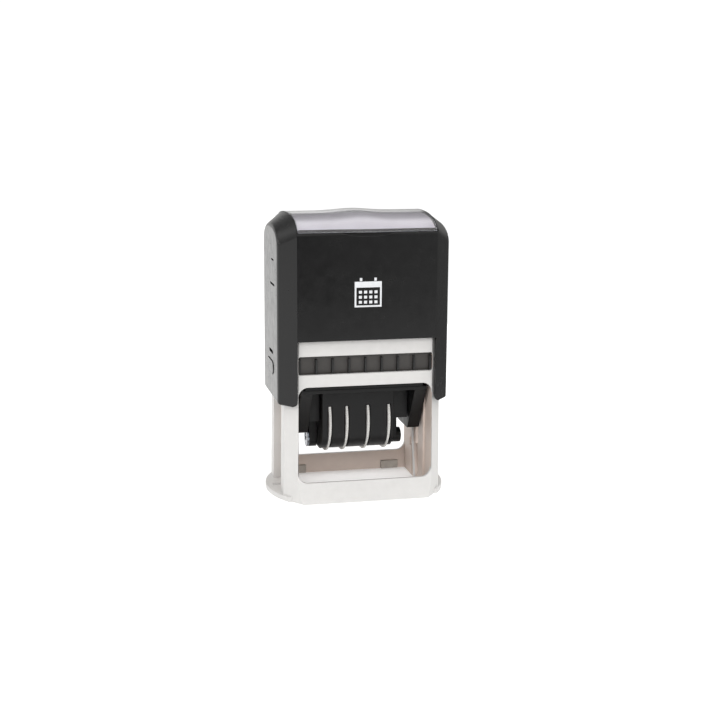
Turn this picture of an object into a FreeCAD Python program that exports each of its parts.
"""Self-inking rotary date stamp with a flip-over die, modelled as separate pieces.

Millimetres. +Z is up, the front of the stamp faces -Y, and the origin is the centre
of the base on the plane of the paper.
"""
import FreeCAD, Part
import math
import os

V = FreeCAD.Vector

# ---------------------------------------------------------------- driving dimensions
# Motion
STROKE = 38.5            # travel of the cover, in which the die turns half a turn
DIE_ABOVE_AXLE = 5.5     # printing face above the flip axle at rest
AXLE_Z = STROKE + DIE_ABOVE_AXLE
DIE_FACE_Z = AXLE_Z + DIE_ABOVE_AXLE
AXLE_R = 2.0             # flip axle pins
FOLLOWER_ARM = 4.0       # follower pin, measured from the flip axle
FOLLOWER_R = 1.0
BUTTON_TRAVEL = 1.3      # lock button, pushed in

# Lower frame
FRAME_TOP = 72.5
FRAME_HALF_W = 33.58     # at the base
FRAME_DRAFT = 0.01       # the sides lean in by this much for each millimetre of height
FRAME_FLAT_W = 26.46     # half width of the front face at the foot of the flare
FRAME_FOOT_Y = 25.5      # half depth at the foot of the flare
FRAME_HALF_D = 22.6      # half depth above the flare
FRAME_SIDE_D = 16.0      # half depth of the flat side face
FLARE_H = 8.24
INNER_HALF_W = 28.2
INNER_HALF_D = 21.1
WINDOW_Z = (8.24, 48.86)
WINDOW_R = 4.1
PAD_WINDOW_Z = (54.05, 61.69)
DECK_T = 1.5
CHANNEL_HALF_D = 9.5     # recess in each side, between the corner posts
CHANNEL_X = 30.3         # outer face of the thin side wall in that recess
FLANGE_R = 35.9          # rounded foot on each side
FLANGE_OUT = 38.1
FLANGE_T = 2.0

LEDGE_Z = (51.3, 52.8)   # carries the ink pad tray
RIB_X = 27.45            # inner face of the raised ribs on the side walls
CAM_HALF_W = 1.2         # half width of the cam groove, and its depth into the wall
FOOT_PAD_X = (17.2, 24.9)
FOOT_PAD_H = 3.6

# Cover
COVER_HALF_W = 36.0
COVER_HALF_D = 25.2
CORNER_X = 7.0
CORNER_Y = 7.7
WALL = 1.5
LEG_Z = 41.27            # lower edge of the legs and sides
PANEL_Z = 68.26          # lower edge of the front and rear panels
LIP_Z = 112.2            # lower edge of the index window
ARCH_POWER = 2.3         # superellipse power of the roof arch
ROOF_SPRING_Z = 110.5
ROOF_TOP = 118.35
END_SPRING_Z = 106.0     # the same arch on the end face, beyond the bevel
END_TOP = 113.4
HUMP = 0.93              # finger rest in the middle of the index window
WINDOW_HALF_W = 28.7
LABEL_HALF_W = 28.4
WINDOW_T = 0.85
LABEL_T = 0.25
ROOF_STEP = 1.7          # the roof under the window lies this much lower
# floor X, centre Y and Z, length and height; the first two go through the wall
SIDE_SLITS = ((COVER_HALF_W - 2.5, -6.0, 99.7, 5.6, 0.6),
              (COVER_HALF_W - 2.5, -5.6, 89.5, 10.4, 0.8),
              (COVER_HALF_W - 0.7, -1.7, 60.7, 9.6, 1.4))

# Return springs and drive bracket
SPRING_X = 18.0
SPRING_R = 4.0
SPRING_FOOT_Z = 64.0
BRACKET_Z = (112.6, 113.8)
BRACKET_X = (30.7, 31.9)

# Lock buttons
BUTTON_Z = 54.2
BUTTON_W = 15.1
BUTTON_H = 5.4
NUB_Y = 8.0

# Die carriage
CARRIAGE_HALF_W = 26.8
CARRIAGE_INNER_W = 21.6
DIE_HALF_D = 20.0
DIE_HALF_W = 25.0
CARRIAGE_Z = (45.4, 47.0)
ARM_FOOT_Z = 26.0
ARM_FOOT_D = 8.0
PIN_ROOT_X = 25.3        # inner end of the follower pins

# Date unit
WHEEL_Z = 31.2
WHEEL_R = 14.8
DISC_T = 1.1
DISC_SLOT = 0.9          # half width of the slots the discs run in
DRUM_R = 8.3
SHAFT_R = 1.5
COVER_X = (-16.5, 14.0)
COVER_FRONT = 13.5
COVER_FOOT_Z = 18.6
SHELL_T = 1.2
BAND_T = 1.2
NOSE_R = 2.2
NOSE_Z = 46.0
CHEEK_OUT = 21.3         # end plates of the unit, against the carriage arms
NECK_OUT = 18.1          # the right plate is cut in above its boss
BOSS_OUT = 20.2
BOSS_Z = 21.3
BOSS_R = 3.2
CAP_Z = 22.4             # large ring on the left boss
CAP_R = 4.2
# name, centre of the finger disc, first and last X of the drum beside it
WHEELS = (("day_tens", -13.2, -12.75, -9.75),
          ("day_units", -6.0, -9.45, -6.45),
          ("month", 3.1, -5.2, 2.65),
          ("year", 12.1, 3.9, 11.65))

RUN = 0.06               # radial clearance of a running fit
GAP = 0.3                # between pieces that move past each other


# ---------------------------------------------------------------- helpers
def box(x0, x1, y0, y1, z0, z1):
    return Part.makeBox(x1 - x0, y1 - y0, z1 - z0, V(x0, y0, z0))


def rod_x(x0, x1, y, z, r):
    return Part.makeCylinder(r, x1 - x0, V(x0, y, z), V(1, 0, 0))


def rod_z(x, y, z0, z1, r):
    return Part.makeCylinder(r, z1 - z0, V(x, y, z0))


def rod_y(x, z, half_length, r):
    return Part.makeCylinder(r, 2 * half_length, V(x, -half_length, z), V(0, 1, 0))


def line(a, b):
    return Part.LineSegment(a, b).toShape()


def arc(a, b, c):
    return Part.Arc(a, b, c).toShape()


def prism_x(yz, x0, x1):
    """Solid with a polygon outline in YZ, from x0 to x1."""
    wire = Part.makePolygon([V(x0, y, z) for y, z in yz] + [V(x0, *yz[0])])
    return Part.Face(wire).extrude(V(x1 - x0, 0, 0))


def extrude_edges(edges, direction):
    return Part.Face(Part.Wire(Part.__sortEdges__(edges))).extrude(direction)


def stadium_x(x0, x1, y, z, width, height):
    """Slot shape with round ends, long in Y, run along X."""
    r = height / 2
    reach = width / 2 - r
    middle = box(x0, x1, y - reach, y + reach, z - r, z + r)
    return join(middle, rod_x(x0, x1, y - reach, z, r), rod_x(x0, x1, y + reach, z, r))


def stadium_z(x0, x1, z0, z1, r):
    """Upright slot shape with round ends, run along X at y = 0."""
    return join(box(x0, x1, -r, r, z0, z1), rod_x(x0, x1, 0, z0, r), rod_x(x0, x1, 0, z1, r))


def join(first, *others):
    return first.multiFuse(list(others)).removeSplitter()


def cut(first, *tools):
    return first.cut(list(tools)).removeSplitter()


def mirror_x(shape):
    return shape.mirror(V(0, 0, 0), V(1, 0, 0))


def mirror_y(shape):
    return shape.mirror(V(0, 0, 0), V(0, 1, 0))


def both_sides(shape):
    return [shape, mirror_x(shape)]


def four_corners(shape):
    pair = both_sides(shape)
    return pair + [mirror_y(one) for one in pair]


def arch_points(x, half_d, spring_z, top, n=12):
    """Superellipse arch over the depth of the cover, at one X, from rear to front."""
    points = []
    for i in range(n + 1):
        turn = math.pi * i / n
        c, s = math.cos(turn), max(math.sin(turn), 0)
        y = math.copysign(abs(c) ** (2 / ARCH_POWER), c) * half_d
        z = spring_z + (top - spring_z) * s ** (2 / ARCH_POWER)
        points.append(V(x, y, z))
    return points


def arch_edges(x, half_d, spring_z, top, foot_z):
    """Outline of a cover section at one X: straight sides under the arch."""
    points = arch_points(x, half_d, spring_z, top)
    curve = Part.BSplineCurve()
    curve.interpolate(points)
    foot_a = V(x, half_d, foot_z)
    foot_b = V(x, -half_d, foot_z)
    return [line(foot_a, points[0]), curve.toShape(), line(points[-1], foot_b), line(foot_b, foot_a)]


def arch_body(half_w, half_d, spring_z, top, foot_z):
    """Cover-like block with the same arch along its whole width."""
    face = Part.Face(Part.Wire(arch_edges(-half_w, half_d, spring_z, top, foot_z)))
    return face.extrude(V(2 * half_w, 0, 0))


def closed_solid(faces):
    shell = Part.makeShell(faces)
    shell.sewShape()
    return Part.makeSolid(shell)


def bevelled_body(flat_w, half_w, half_d, end_d, tops, springs, foot_z):
    """Cover-like block whose ends are bevelled from the roof and the faces."""
    middle = arch_body(flat_w, half_d, springs[0], tops[0], foot_z)
    near = arch_edges(flat_w, half_d, springs[0], tops[0], foot_z)
    far = arch_edges(half_w, end_d, springs[1], tops[1], foot_z)
    faces = [Part.makeRuledSurface(a, b) for a, b in zip(near, far)]
    faces += [Part.Face(Part.Wire(near)), Part.Face(Part.Wire(far))]
    end = closed_solid(faces)
    return join(middle, end, mirror_x(end))


def strip(centre, half_a, half_b, x0, x1, n=28):
    """Solid that follows a curve in YZ, between two sideways offsets of it.

    centre(u) gives (y, z) for u from 0 to 1; offsets count to the right of travel."""
    sides = ([], [])
    for i in range(n + 1):
        u = i / n
        step = 1e-4
        ya, za = centre(max(u - step, 0))
        yb, zb = centre(min(u + step, 1))
        size = math.hypot(yb - ya, zb - za)
        ny, nz = -(zb - za) / size, (yb - ya) / size
        y, z = centre(u)
        for side, offset in zip(sides, (half_a, half_b)):
            side.append(V(x0, y + ny * offset, z + nz * offset))
    curves = []
    for side in sides:
        curve = Part.BSplineCurve()
        curve.interpolate(side)
        curves.append(curve.toShape())
    ends = [line(sides[0][0], sides[1][0]), line(sides[0][-1], sides[1][-1])]
    return extrude_edges(curves + ends, V(x1 - x0, 0, 0))


def follower_path(u):
    """Centre of the follower pin in the frame, for a press of u times the stroke."""
    turn = math.pi * u
    return (FOLLOWER_ARM * math.sin(turn),
            AXLE_Z - STROKE * u + FOLLOWER_ARM * math.cos(turn))


# ---------------------------------------------------------------- lower frame
def frame_outline():
    """Outer block: leaning chamfered sides, cut back above the flared foot."""
    wires = []
    for z in (0, FRAME_TOP):
        lean = FRAME_DRAFT * z
        half_w, flat_w = FRAME_HALF_W - lean, FRAME_FLAT_W - lean
        ring = [(flat_w, -FRAME_FOOT_Y), (half_w, -FRAME_SIDE_D),
                (half_w, FRAME_SIDE_D), (flat_w, FRAME_FOOT_Y),
                (-flat_w, FRAME_FOOT_Y), (-half_w, FRAME_SIDE_D),
                (-half_w, -FRAME_SIDE_D), (-flat_w, -FRAME_FOOT_Y)]
        wires.append(Part.makePolygon([V(x, y, z) for x, y in ring + ring[:1]]))
    block = Part.makeLoft(wires, True, True)

    depth = FRAME_FOOT_Y - FRAME_HALF_D
    flare_r = (depth ** 2 + FLARE_H ** 2) / (2 * depth)
    half_turn = math.asin(FLARE_H / flare_r) / 2
    mid_y = FRAME_HALF_D + flare_r * (1 - math.cos(half_turn))
    mid_z = FLARE_H - flare_r * math.sin(half_turn)
    x = -FLANGE_OUT
    edges = [line(V(x, -FRAME_FOOT_Y, 0), V(x, FRAME_FOOT_Y, 0)),
             line(V(x, -FRAME_HALF_D, FRAME_TOP), V(x, FRAME_HALF_D, FRAME_TOP))]
    for side in (-1, 1):
        foot = V(x, side * FRAME_FOOT_Y, 0)
        top = V(x, side * FRAME_HALF_D, FLARE_H)
        edges.append(arc(foot, V(x, side * mid_y, mid_z), top))
        edges.append(line(top, V(x, side * FRAME_HALF_D, FRAME_TOP)))
    return block.common(extrude_edges(edges, V(2 * FLANGE_OUT, 0, 0)))


def rounded_window(z0, z1, r):
    """Opening through the front and rear walls with rounded corners."""
    reach = FRAME_FOOT_Y + 2
    opening = box(-INNER_HALF_W, INNER_HALF_W, -reach, reach, z0, z1)
    corners = [e for e in opening.Edges
               if abs(e.Vertexes[0].Z - e.Vertexes[1].Z) < 1e-6
               and abs(e.Vertexes[0].X - e.Vertexes[1].X) < 1e-6]
    return opening.makeFillet(r, corners)


def foot_pad_block():
    return box(*FOOT_PAD_X, INNER_HALF_D - 0.7, INNER_HALF_D + 0.9, 0, FOOT_PAD_H)


def base_frame():
    body = frame_outline()
    flange = rod_z(FLANGE_OUT - FLANGE_R, 0, 0, FLANGE_T, FLANGE_R)
    flange = flange.common(box(INNER_HALF_W + 1, FLANGE_OUT, -20, 20, 0, FLANGE_T))
    body = join(body, *both_sides(flange))

    cavity = box(-INNER_HALF_W, INNER_HALF_W, -INNER_HALF_D, INNER_HALF_D,
                 -1, FRAME_TOP - DECK_T)
    body = cut(body, cavity, rounded_window(*WINDOW_Z, WINDOW_R),
               rounded_window(*PAD_WINDOW_Z, 0.8))
    channel = box(CHANNEL_X, FLANGE_OUT + 1, -CHANNEL_HALF_D, CHANNEL_HALF_D,
                  FLANGE_T, FRAME_TOP + 1)
    foot_slot = box(31.5, 35.4, -1.35, 1.35, -1, FLANGE_T + 1)
    body = cut(body, *both_sides(channel), *both_sides(foot_slot))

    # ledges for the pad tray, guide ribs, and the raised edge of the cam groove
    into_wall = INNER_HALF_W + 0.5
    into_bar = INNER_HALF_D + 0.5
    ledge = box(CARRIAGE_HALF_W + GAP, into_wall, -into_bar, into_bar, *LEDGE_Z)
    rear_rib = box(RIB_X, into_wall, 7.0, 11.0, 1.0, 40.0)
    front_rib = box(RIB_X, into_wall, -12.3, -8.2, 2.0, 40.0)
    cam_edge = strip(follower_path, CAM_HALF_W + 0.1, CAM_HALF_W + 1.3, RIB_X, into_wall)
    well = rod_z(SPRING_X, 0, SPRING_FOOT_Z - 1.6, FRAME_TOP, SPRING_R + 1.9)
    added = [both_sides(one) for one in (ledge, rear_rib, front_rib, cam_edge, well)]
    body = join(body, *[one for pair in added for one in pair])

    before_wall, past_wall = RIB_X - 1, CHANNEL_X + 1
    axle_slot = stadium_z(before_wall, past_wall, AXLE_Z - STROKE, AXLE_Z, AXLE_R + 0.2)
    groove_floor = INNER_HALF_W + CAM_HALF_W
    groove = [strip(follower_path, -CAM_HALF_W, CAM_HALF_W, before_wall, groove_floor)]
    for u in (0, 1):
        groove.append(rod_x(before_wall, groove_floor, *follower_path(u), CAM_HALF_W))
    notches = []
    for z in (BUTTON_Z, BUTTON_Z - STROKE):
        for y in (-NUB_Y, NUB_Y):
            notches.append(box(before_wall, past_wall, y - 1.3, y + 1.3, z - 1.9, z + 1.9))
    well_bore = rod_z(SPRING_X, 0, SPRING_FOOT_Z, FRAME_TOP + 1, SPRING_R + 0.7)
    tools = [axle_slot, well_bore] + groove + notches
    body = cut(body, *[one for tool in tools for one in both_sides(tool)])

    # room for the bevelled roof, which comes down round the top corners
    reach = FRAME_FOOT_Y + 2
    slant_xz = [(28.5, FRAME_TOP + 1), (40, FRAME_TOP + 1), (40, FRAME_TOP - 11)]
    slant = Part.makePolygon([V(x, -reach, z) for x, z in slant_xz + slant_xz[:1]])
    slant = Part.Face(slant).extrude(V(0, 2 * reach, 0))
    return cut(body, *both_sides(slant), *four_corners(foot_pad_block()))


def foot_pads():
    return Part.makeCompound(four_corners(foot_pad_block()))


def ink_pad_tray():
    """Removable cartridge: a deep tray, open below, with a ribbed front and rear."""
    body = box(-27.9, 27.9, -20.3, 20.3, 52.8, 62.2)
    body = cut(body, box(-25.8, 25.8, -19.2, 19.2, 52.0, 57.5))
    count = 8
    pitch = 2 * 27.45 / count
    ribs = []
    for i in range(count + 1):
        x = -27.45 + i * pitch
        ribs.append(box(x - 0.45, x + 0.45, -22.0, -20.3, 54.3, 60.3))
    ribs += [mirror_y(rib) for rib in ribs]
    return join(body, *ribs)


def ink_pad_felt():
    return box(-25.8, 25.8, -19.2, 19.2, 53.0, 57.5)


# ---------------------------------------------------------------- cover
def cover_inner():
    """The hollow of the cover, one wall thickness inside it."""
    slant = math.hypot(CORNER_X, CORNER_Y)
    nx, ny = CORNER_Y / slant, CORNER_X / slant
    reach = nx * (COVER_HALF_W - CORNER_X) + ny * COVER_HALF_D - WALL
    half_w, half_d = COVER_HALF_W - WALL, COVER_HALF_D - WALL
    end_d = (reach - nx * half_w) / ny
    flat_w = (reach - ny * half_d) / nx
    under_roof = ROOF_TOP - ROOF_STEP - WALL
    return bevelled_body(flat_w, half_w, half_d, end_d, (under_roof, END_TOP - WALL),
                         (ROOF_SPRING_Z - WALL, END_SPRING_Z - 1), LEG_Z - 1)


def top_cover():
    flat_w = COVER_HALF_W - CORNER_X
    end_d = COVER_HALF_D - CORNER_Y
    body = bevelled_body(flat_w, COVER_HALF_W, COVER_HALF_D, end_d, (ROOF_TOP, END_TOP),
                         (ROOF_SPRING_Z, END_SPRING_Z), LEG_Z)
    # recess for the label and the index window
    seat_w = WINDOW_HALF_W + 0.2
    core = arch_body(seat_w, COVER_HALF_D - ROOF_STEP, ROOF_SPRING_Z - ROOF_STEP,
                     ROOF_TOP - ROOF_STEP, LEG_Z)
    recess = box(-seat_w, seat_w, -COVER_HALF_D - 1, COVER_HALF_D + 1, LIP_Z, ROOF_TOP + 2).cut(core)
    body = cut(body, recess, cover_inner())

    # the front and rear stop at the panel edge between the corner legs
    opening = box(-flat_w, flat_w, -COVER_HALF_D - 1, -COVER_HALF_D + 5, LEG_Z - 1, PANEL_Z)
    tools = [opening, mirror_y(opening)]
    round_r = 2.0
    corner = box(flat_w - 1, flat_w + round_r, -COVER_HALF_D - 1, -COVER_HALF_D + 5,
                 LEG_Z - 1, LEG_Z + round_r)
    corner = corner.cut(rod_y(flat_w + round_r, LEG_Z + round_r, COVER_HALF_D + 2, round_r))
    tools += four_corners(corner)

    # slits, a finger mark and the lock button's hole in both sides
    for floor_x, y, z, width, height in SIDE_SLITS:
        tools += both_sides(stadium_x(floor_x, COVER_HALF_W + 1, y, z, width, height))
    tools += both_sides(stadium_x(COVER_HALF_W - WALL - 1, COVER_HALF_W + 1, 0, BUTTON_Z,
                                  BUTTON_W + 0.5, BUTTON_H + 0.5))

    # thumb notches under the window
    notch_w, notch_h = 22.5, 1.5
    notch_r = (notch_w ** 2 / 4 + notch_h ** 2) / (2 * notch_h)
    notch = Part.makeCylinder(notch_r, 1.0, V(0, -COVER_HALF_D - 0.2, LIP_Z - notch_h + notch_r), V(0, 1, 0))
    notch = notch.common(box(-20, 20, -COVER_HALF_D - 1, -COVER_HALF_D + 2, LIP_Z - notch_h - 1, LIP_Z))
    tools += [notch, mirror_y(notch)]
    body = cut(body, *tools)

    # pads and stakes that hold the drive bracket under the roof
    under_roof = ROOF_TOP - ROOF_STEP - WALL
    holders = []
    for x in (-10, 10):
        holders.append(rod_z(x, 0, BRACKET_Z[1], under_roof + 0.5, 3.0))
        holders.append(rod_z(x, 0, BRACKET_Z[0] - 0.6, BRACKET_Z[1] + 0.5, 1.5))
        holders.append(rod_z(x, 0, BRACKET_Z[0] - 0.6, BRACKET_Z[0], 2.4))
    return join(body, *holders)


def window_top(x):
    """Height of the window along the ridge, with a hump in the middle."""
    return ROOF_TOP + HUMP * math.exp(-(x / 9) ** 2)


def window_block(inset, half_w, foot_z):
    """Block under the window's curved face, which is one surface through its arches."""
    count = 14
    rows = []
    for i in range(count + 1):
        x = half_w * (2 * i / count - 1)
        rows.append(arch_points(x, COVER_HALF_D - inset, ROOF_SPRING_Z - inset, window_top(x) - inset))
    surface = Part.BSplineSurface()
    surface.interpolate(rows)
    roof = surface.toShape()
    faces = [roof]
    feet = []
    for row in (rows[0], rows[-1]):
        rear, front = row[0], row[-1]
        foot_rear, foot_front = V(rear.x, rear.y, foot_z), V(front.x, front.y, foot_z)
        arch = [e for e in roof.Edges
                if abs(e.BoundBox.XMax - rear.x) < 1e-3 and abs(e.BoundBox.XMin - rear.x) < 1e-3]
        rest = [line(front, foot_front), line(foot_front, foot_rear), line(foot_rear, rear)]
        faces.append(Part.Face(Part.Wire(Part.__sortEdges__(arch + rest))))
        feet.append((rear, foot_rear, foot_front, front))
    (a0, a1, a2, a3), (b0, b1, b2, b3) = feet
    for ring in ([a0, b0, b1, a1], [a1, b1, b2, a2], [a2, b2, b3, a3]):
        faces.append(Part.Face(Part.makePolygon(ring + ring[:1])))
    return closed_solid(faces)


def index_window():
    outer = window_block(0, WINDOW_HALF_W, 100)
    inner = window_block(WINDOW_T, WINDOW_HALF_W, 99)
    shell = outer.cut(inner)
    return shell.common(box(-40, 40, -40, 40, LIP_Z + 0.05, 130))


def index_label():
    depth = ROOF_STEP - LABEL_T - 0.05
    outer = arch_body(LABEL_HALF_W, COVER_HALF_D - depth, ROOF_SPRING_Z - depth, ROOF_TOP - depth, 100)
    inner = arch_body(LABEL_HALF_W, COVER_HALF_D - depth - LABEL_T, ROOF_SPRING_Z - depth - LABEL_T,
                      ROOF_TOP - depth - LABEL_T, 99)
    return outer.cut(inner).common(box(-40, 40, -40, 40, LIP_Z + 0.8, 130))


def drive_bracket():
    """Steel U that carries the cover's push down to the flip axle on both sides."""
    bend = 2.0
    t = BRACKET_X[1] - BRACKET_X[0]
    top = BRACKET_Z[1]
    out = BRACKET_X[1]
    half_w, foot_w = 5.0, 3.2
    plate = box(-out + bend, out - bend, -half_w, half_w, BRACKET_Z[0], top)
    elbow = rod_y(out - bend, top - bend, half_w, bend)
    elbow = elbow.cut(rod_y(out - bend, top - bend, half_w + 1, bend - t))
    elbow = elbow.common(box(out - bend, out, -half_w, half_w, top - bend, top))
    arm_yz = [(-half_w, top - bend), (half_w, top - bend), (half_w, AXLE_Z + 14),
              (foot_w, AXLE_Z), (-foot_w, AXLE_Z), (-half_w, AXLE_Z + 14)]
    arm = join(prism_x(arm_yz, BRACKET_X[0], out), rod_x(BRACKET_X[0], out, 0, AXLE_Z, foot_w))
    arm = cut(arm, rod_x(BRACKET_X[0] - 1, out + 1, 0, AXLE_Z, AXLE_R))
    body = join(plate, *both_sides(elbow), *both_sides(arm))
    return cut(body, *both_sides(rod_z(10, 0, BRACKET_Z[0] - 1, top + 1, 1.6)))


def axle_pin():
    """Right-hand flip axle pin: headed outside the bracket, its end in the carriage."""
    shank = rod_x(24.2, BRACKET_X[1], 0, AXLE_Z, AXLE_R)
    head = rod_x(BRACKET_X[1], BRACKET_X[1] + 0.9, 0, AXLE_Z, 3.0)
    return join(shank, head)


def return_spring():
    """Space of the right-hand coil spring: a closed tube of the coil's diameters."""
    tube = rod_z(SPRING_X, 0, SPRING_FOOT_Z, BRACKET_Z[0], SPRING_R)
    return cut(tube, rod_z(SPRING_X, 0, SPRING_FOOT_Z - 1, BRACKET_Z[0] + 1, SPRING_R - 0.9))


def lock_button():
    """Right-hand button: a cap through the wall, a flange behind it and two locking nubs."""
    inside = COVER_HALF_W - WALL
    cap = stadium_x(inside - 0.2, COVER_HALF_W + 0.3, 0, BUTTON_Z, BUTTON_W, BUTTON_H)
    flange = box(inside - 0.95, inside - 0.1, -9.2, 9.2, BUTTON_Z - 3.6, BUTTON_Z + 3.6)
    nubs = [box(BRACKET_X[0], inside - 0.5, s * NUB_Y - 1, s * NUB_Y + 1, BUTTON_Z - 1.5, BUTTON_Z + 1.5)
            for s in (-1, 1)]
    return join(cap, flange, *nubs)


# ---------------------------------------------------------------- die carriage
def die_carriage():
    """Moulded yoke: a plate under the die and a tapering arm down each side."""
    z0, z1 = CARRIAGE_Z
    plate = box(-CARRIAGE_HALF_W, CARRIAGE_HALF_W, -DIE_HALF_D, DIE_HALF_D, z0, z1)
    plate = cut(plate, box(COVER_X[0] + 1, COVER_X[1] - 0.7, -6.6, 6.6, z0 - 1, z1 + 1))
    arm_yz = [(-DIE_HALF_D + 0.4, z0 + 0.2), (DIE_HALF_D - 0.4, z0 + 0.2),
              (ARM_FOOT_D, ARM_FOOT_Z), (-ARM_FOOT_D, ARM_FOOT_Z)]
    arm = prism_x(arm_yz, CARRIAGE_INNER_W, CARRIAGE_HALF_W)
    feet = [e for e in arm.Edges
            if abs(e.Vertexes[0].Z - ARM_FOOT_Z) < 1e-6 and abs(e.Vertexes[1].Z - ARM_FOOT_Z) < 1e-6
            and abs(e.Vertexes[0].Y - e.Vertexes[1].Y) < 1e-6]
    arm = arm.makeFillet(1.5, feet)
    lug = box(DIE_HALF_W + 0.2, CARRIAGE_HALF_W, -2.4, 2.4, z0, DIE_FACE_Z - 0.1)
    body = join(plate, *both_sides(arm), *both_sides(lug))
    bore = rod_x(24.0, CARRIAGE_HALF_W + 1, 0, AXLE_Z, AXLE_R + RUN)
    socket = rod_x(PIN_ROOT_X, CARRIAGE_HALF_W + 1, 0, AXLE_Z + FOLLOWER_ARM, FOLLOWER_R)
    return cut(body, *both_sides(bore), *both_sides(socket))


def follower_pin():
    tip = INNER_HALF_W + CAM_HALF_W - 0.2
    return rod_x(PIN_ROOT_X, tip, 0, AXLE_Z + FOLLOWER_ARM, FOLLOWER_R)


def die_base_plate():
    """Clip-in plate that the rubber is glued to, with the date opening."""
    plate = box(-DIE_HALF_W, DIE_HALF_W, -DIE_HALF_D + 0.1, DIE_HALF_D - 0.1, CARRIAGE_Z[1], 48.2)
    return cut(plate, box(-15.2, 13.1, -4.2, 4.2, 40, 60))


def text_die():
    """Rubber sheet with a raised border and plain raised rules above and below the date."""
    sheet = box(-24.8, 24.8, -19.8, 19.8, 48.2, 48.9)
    top = DIE_FACE_Z
    border = box(-24.2, 24.2, -19.2, 19.2, 48.9, top).cut(box(-23.2, 23.2, -18.2, 18.2, 48, top + 1))
    rules = []
    for y, half_w in ((-14.5, 19.0), (-10.0, 15.0), (10.0, 15.0), (14.5, 19.0)):
        rules.append(box(-half_w, half_w, y - 0.9, y + 0.9, 48.9, top))
    body = join(sheet, border, *rules)
    return cut(body, box(-15.2, 13.1, -4.2, 4.2, 40, 60))


# ---------------------------------------------------------------- date unit
def shell_section(front, foot_z, round_r, top, x0, x1):
    """Trough outline: straight front and rear, rounded into a flat floor."""
    low = foot_z + round_r
    turn_y = front - round_r
    dip = round_r * math.sqrt(0.5)
    edges = [line(V(x0, -front, top), V(x0, front, top)),
             line(V(x0, -turn_y, foot_z), V(x0, turn_y, foot_z))]
    for side in (-1, 1):
        edges.append(line(V(x0, side * front, top), V(x0, side * front, low)))
        mid = V(x0, side * (turn_y + dip), low - dip)
        edges.append(arc(V(x0, side * front, low), mid, V(x0, side * turn_y, foot_z)))
    return extrude_edges(edges, V(x1 - x0, 0, 0))


def band_cover():
    round_r = 8.4
    x0, x1 = COVER_X
    outer = shell_section(COVER_FRONT, COVER_FOOT_Z, round_r, CARRIAGE_Z[0], x0, x1)
    inner = shell_section(COVER_FRONT - SHELL_T, COVER_FOOT_Z + SHELL_T, round_r - SHELL_T,
                          CARRIAGE_Z[0] + 5, x0 + 1, x1 - 1)
    above_ends = box(x0 - 1, x1 + 1, -COVER_FRONT + SHELL_T, COVER_FRONT - SHELL_T, 43.4, 50)
    slots = [rod_x(x - DISC_SLOT, x + DISC_SLOT, 0, WHEEL_Z, WHEEL_R + 0.4) for _, x, _, _ in WHEELS]
    shaft = rod_x(x0 - 1, x1 + 1, 0, WHEEL_Z, SHAFT_R + 0.2)
    return cut(outer, inner, above_ends, shaft, *slots)


def band_cheek(side):
    """End plate of the date unit: web, neck and the round boss at its foot."""
    inner = 16.8 if side < 0 else 14.3
    neck_out = BOSS_OUT if side < 0 else NECK_OUT
    web = box(inner, CHEEK_OUT, -9, 9, 31.0, CARRIAGE_Z[0])
    neck = box(inner, neck_out, -3.2, 3.2, BOSS_Z, 31.5)
    boss = rod_x(inner, BOSS_OUT, 0, BOSS_Z, BOSS_R)
    body = join(web, neck, boss)
    body = cut(body, rod_x(inner - 1, 19.0, 0, WHEEL_Z, SHAFT_R),
               rod_x(18.4, BOSS_OUT + 1, 0, BOSS_Z, 2.2))
    if side < 0:
        return mirror_x(body)
    return body


def boss_cap(side):
    """Bright ring pressed into the outer end of a boss; the left one has a wide flange."""
    ring = rod_x(18.4, BOSS_OUT + 0.3, 0, BOSS_Z, 2.2)
    if side < 0:
        ring = join(ring, rod_x(BOSS_OUT, BOSS_OUT + 0.9, 0, CAP_Z, CAP_R))
        bore = rod_x(19.2, 22, 0, CAP_Z, 1.6)
        return mirror_x(cut(ring, bore))
    return cut(ring, rod_x(19.2, 22, 0, BOSS_Z, 1.1))


def wheel_shaft():
    return rod_x(-19.0, 19.0, 0, WHEEL_Z, SHAFT_R)


def print_bar():
    """Anvil that backs the bands at the printing line, slotted for the finger discs."""
    bar = rod_x(-15.0, 12.9, 0, NOSE_Z, NOSE_R - 0.1)
    web = box(-16.8, 12.9, -1.2, 1.2, 43.6, CARRIAGE_Z[0] - 0.1)
    body = join(bar, web)
    slots = [rod_x(x - DISC_SLOT, x + DISC_SLOT, 0, WHEEL_Z, WHEEL_R + 0.4) for _, x, _, _ in WHEELS]
    return cut(body, *slots)


def setting_wheel(disc_x, drum_a, drum_b):
    disc = rod_x(disc_x - DISC_T / 2, disc_x + DISC_T / 2, 0, WHEEL_Z, WHEEL_R)
    drum = rod_x(drum_a, drum_b, 0, WHEEL_Z, DRUM_R)
    return cut(join(disc, drum), rod_x(drum_a - 5, drum_b + 5, 0, WHEEL_Z, SHAFT_R + RUN))


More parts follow.
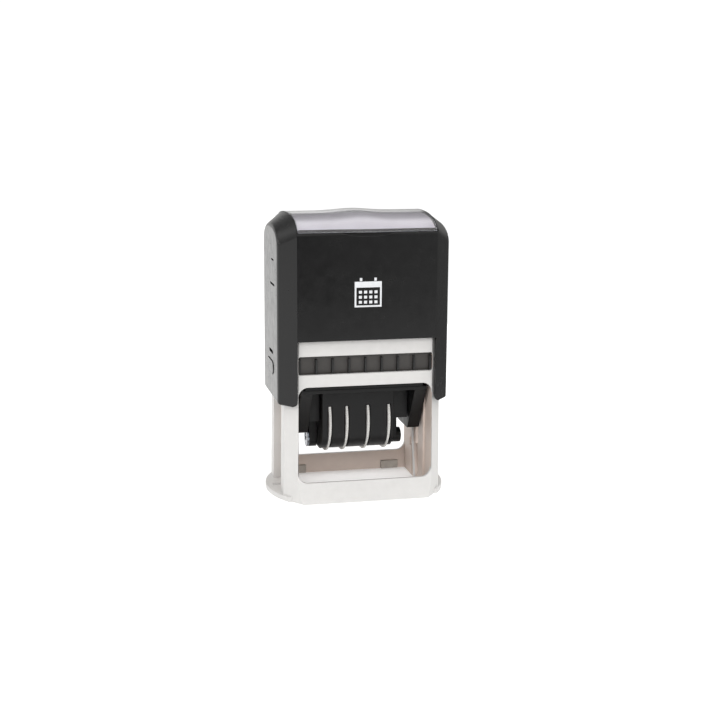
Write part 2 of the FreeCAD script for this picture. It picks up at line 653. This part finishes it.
def belt_outline(x, big_r, small_r):
    """Tangent loop in YZ round the drum below and the print bar above."""
    span = NOSE_Z - WHEEL_Z
    lift = math.asin((big_r - small_r) / span)
    ends = []
    for r, z in ((big_r, WHEEL_Z), (small_r, NOSE_Z)):
        ends.append((r * math.cos(lift), z + r * math.sin(lift)))
    (y0, z0), (y1, z1) = ends
    edges = [arc(V(x, -y0, z0), V(x, 0, WHEEL_Z - big_r), V(x, y0, z0)),
             arc(V(x, -y1, z1), V(x, 0, NOSE_Z + small_r), V(x, y1, z1))]
    edges += [line(V(x, s * y0, z0), V(x, s * y1, z1)) for s in (-1, 1)]
    return edges


def date_band(a, b):
    length = V(b - a, 0, 0)
    inner_r = DRUM_R + 0.1
    outer = extrude_edges(belt_outline(a, inner_r + BAND_T, NOSE_R + BAND_T), length)
    inner = extrude_edges(belt_outline(a - 1, inner_r, NOSE_R), V(b - a + 2, 0, 0))
    return outer.cut(inner)


# ---------------------------------------------------------------- all pieces
def build():
    parts = {
        "base_frame": base_frame(),
        "foot_pads": foot_pads(),
        "ink_pad_tray": ink_pad_tray(),
        "ink_pad_felt": ink_pad_felt(),
        "top_cover": top_cover(),
        "index_window": index_window(),
        "index_label": index_label(),
        "drive_bracket": drive_bracket(),
        "die_carriage": die_carriage(),
        "die_base_plate": die_base_plate(),
        "text_die": text_die(),
        "band_cover": band_cover(),
        "wheel_shaft": wheel_shaft(),
        "print_bar": print_bar(),
    }
    for name, make in (("axle_pin", axle_pin), ("return_spring", return_spring),
                       ("lock_button", lock_button), ("follower_pin", follower_pin)):
        parts["right_" + name] = make()
        parts["left_" + name] = mirror_x(make())
    for name, side in (("left", -1), ("right", 1)):
        parts[name + "_band_cheek"] = band_cheek(side)
        parts[name + "_boss_cap"] = boss_cap(side)
    for name, disc_x, drum_a, drum_b in WHEELS:
        parts[name + "_wheel"] = setting_wheel(disc_x, drum_a, drum_b)
        parts[name + "_band"] = date_band(drum_a + 0.25, drum_b - 0.25)
    return parts


def main():
    os.makedirs("parts", exist_ok=True)
    for name, shape in build().items():
        shape.exportStep("parts/" + name + ".step")
        print(name, "valid" if shape.isValid() else "NOT VALID", len(shape.Solids), round(shape.Volume, 1))


main()
